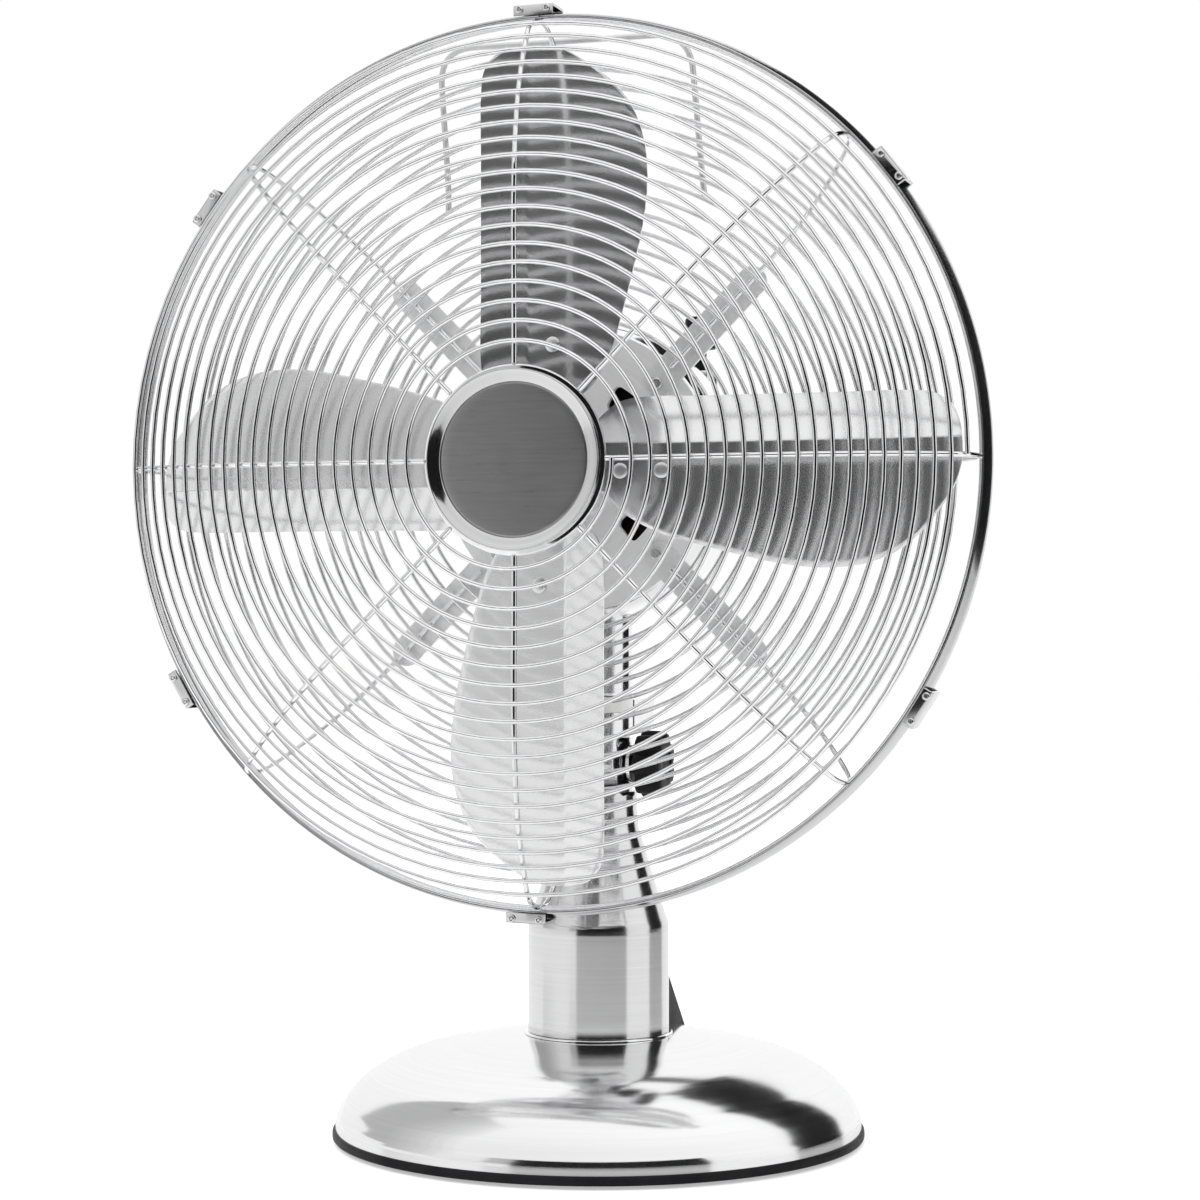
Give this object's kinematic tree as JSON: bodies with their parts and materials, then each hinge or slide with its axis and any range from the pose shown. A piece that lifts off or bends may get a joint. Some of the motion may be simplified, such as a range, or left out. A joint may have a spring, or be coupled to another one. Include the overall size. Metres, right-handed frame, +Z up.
{
  "type": "desk fan",
  "caption": "Metal desk fan: spiral wire guard, folded aluminium blades, tilting and swinging head on a bottle-shaped column with a round base.",
  "frame": {"origin": "centre of the bounding box on the table plane, on the axis of the column", "axes": "+Z up, the fan blows towards -Y, +X is on the side of the tilt clamp knob"},
  "size_m": [0.3812, 0.237, 0.4898],
  "materials": {
    "brushed_base": "spun stainless steel with circular brushing",
    "brushed_column": "spun stainless steel, horizontal brushing",
    "brushed_neck": "turned steel, fine brushing",
    "polished_ring": "polished chrome",
    "black_plastic": "black moulded plastic, satin",
    "black_rubber": "black rubber",
    "rubber_pads": "dark rubber",
    "grey_steel": "zinc plated steel sheet",
    "zinc_screws": "bright zinc plated steel",
    "cast_weight": "raw cast iron",
    "capacitor_case": "moulded plastic case",
    "white_bush": "white acetal bearing ring",
    "chrome_housing": "bright chromed steel",
    "front_plate_steel": "bright steel pressing",
    "laminations": "dark varnished steel laminations",
    "copper_windings": "enamelled copper wire, stood in for by a varnish surface",
    "arm_steel": "bright steel strip",
    "brass_worm": "machined brass",
    "blade_aluminium": "brushed aluminium sheet",
    "rivet_aluminium": "aluminium",
    "guard_chrome": "bright chromed steel wire",
    "rim_steel": "bright steel strip",
    "badge_chrome": "polished chrome",
    "badge_brushed": "dark brushed plate"
  },
  "bodies": {
    "base": {"base_shell": "brushed_base", "base_trim_ring": "black_plastic", "base_plate": "grey_steel", "rubber_feet": "rubber_pads", "base_plate_screws": "zinc_screws", "ballast_weight": "cast_weight", "column_foot_ring": "polished_ring", "column_shell": "brushed_column", "hinge_fork": "brushed_neck", "column_stud": "zinc_screws", "stud_nut": "zinc_screws", "switch_console": "black_plastic", "console_screws": "zinc_screws", "cord_gland": "black_rubber", "run_capacitor": "capacitor_case", "tilt_washers": "polished_ring"},
    "tilt_clamp_knob": {"tilt_knob": "black_plastic"},
    "speed_selector": {"speed_knob": "black_plastic"},
    "tilt_neck": {"tilt_tongue": "brushed_neck", "swivel_ring": "white_bush", "link_bracket": "brushed_neck"},
    "head": {"neck_tube": "brushed_neck", "swivel_pin": "zinc_screws", "motor_housing": "chrome_housing", "motor_front_plate": "front_plate_steel", "stator_core": "laminations", "windings": "copper_windings", "motor_frame": "grey_steel", "bearings": "zinc_screws", "motor_screws": "zinc_screws", "support_arms": "arm_steel", "front_radial_wires": "guard_chrome", "front_spiral_wire": "guard_chrome", "rear_radial_wires": "guard_chrome", "rear_spiral_wire": "guard_chrome", "front_outer_ring": "guard_chrome", "rear_outer_ring": "guard_chrome", "rim_band": "rim_steel", "rim_clips": "rim_steel", "clip_rivets": "zinc_screws", "guard_centre_plate": "guard_chrome", "badge_ring": "badge_chrome", "badge_plate": "badge_brushed", "carry_handle": "guard_chrome", "gear_bracket": "grey_steel"},
    "rotor": {"motor_shaft": "zinc_screws", "rotor_core": "laminations", "worm": "brass_worm", "hub_spider": "grey_steel", "blade_1": "blade_aluminium", "blade_2": "blade_aluminium", "blade_3": "blade_aluminium", "blade_4": "blade_aluminium", "blade_rivets": "rivet_aluminium", "hub_nut": "zinc_screws"},
    "gear_wheel": {"worm_wheel": "brass_worm"},
    "crank_disc": {"crank": "zinc_screws"},
    "link": {"link_arm": "grey_steel"},
    "oscillation_plunger": {"oscillation_knob": "black_plastic"}
  },
  "joints": [
    {"name": "tilt_clamp_turn", "type": "hinge", "parent": "base", "child": "tilt_clamp_knob", "pos_m": [0.0295, 0, 0.1669], "axis": [1, 0, 0], "range_deg": [-90, 180]},
    {"name": "speed_select", "type": "hinge", "parent": "base", "child": "speed_selector", "pos_m": [0, 0.0505, 0.0655], "axis": [0, 0.7071, 0.7071], "range_deg": [-135, 0]},
    {"name": "head_tilt", "type": "hinge", "parent": "base", "child": "tilt_neck", "pos_m": [0, 0, 0.1669], "axis": [1, 0, 0], "range_deg": [-25, 8]},
    {"name": "head_swing", "type": "hinge", "parent": "tilt_neck", "child": "head", "pos_m": [0, 0, 0.19], "axis": [0, 0, 1], "range_deg": [-30, 30]},
    {"name": "fan_spin", "type": "hinge", "parent": "head", "child": "rotor", "pos_m": [0, -0.072, 0.2965], "axis": [0, 1, 0], "continuous": true},
    {"name": "worm_wheel_spin", "type": "hinge", "parent": "head", "child": "gear_wheel", "pos_m": [0.025, 0.079, 0.2965], "axis": [0, 0, 1], "continuous": true},
    {"name": "crank_turn", "type": "hinge", "parent": "head", "child": "crank_disc", "pos_m": [-0.02736, 0.07518, 0.205], "axis": [0, 0, 1], "range_deg": [-90, 90]},
    {"name": "link_turn", "type": "hinge", "parent": "crank_disc", "child": "link", "pos_m": [-0.02058, 0.07935, 0.1996], "axis": [0, 0, 1], "range_deg": [-125, 125]},
    {"name": "oscillation_select", "type": "slide", "parent": "head", "child": "oscillation_plunger", "axis": [0, 0, 1], "range_m": [-0.006, 0]}
  ],
  "couplings": [
    {"joint": "worm_wheel_spin", "follows": "fan_spin", "ratio": -0.033333},
    {"joint": "crank_turn", "follows": "head_swing", "ratio": 3},
    {"joint": "link_turn", "follows": "head_swing", "ratio": -4}
  ]
}
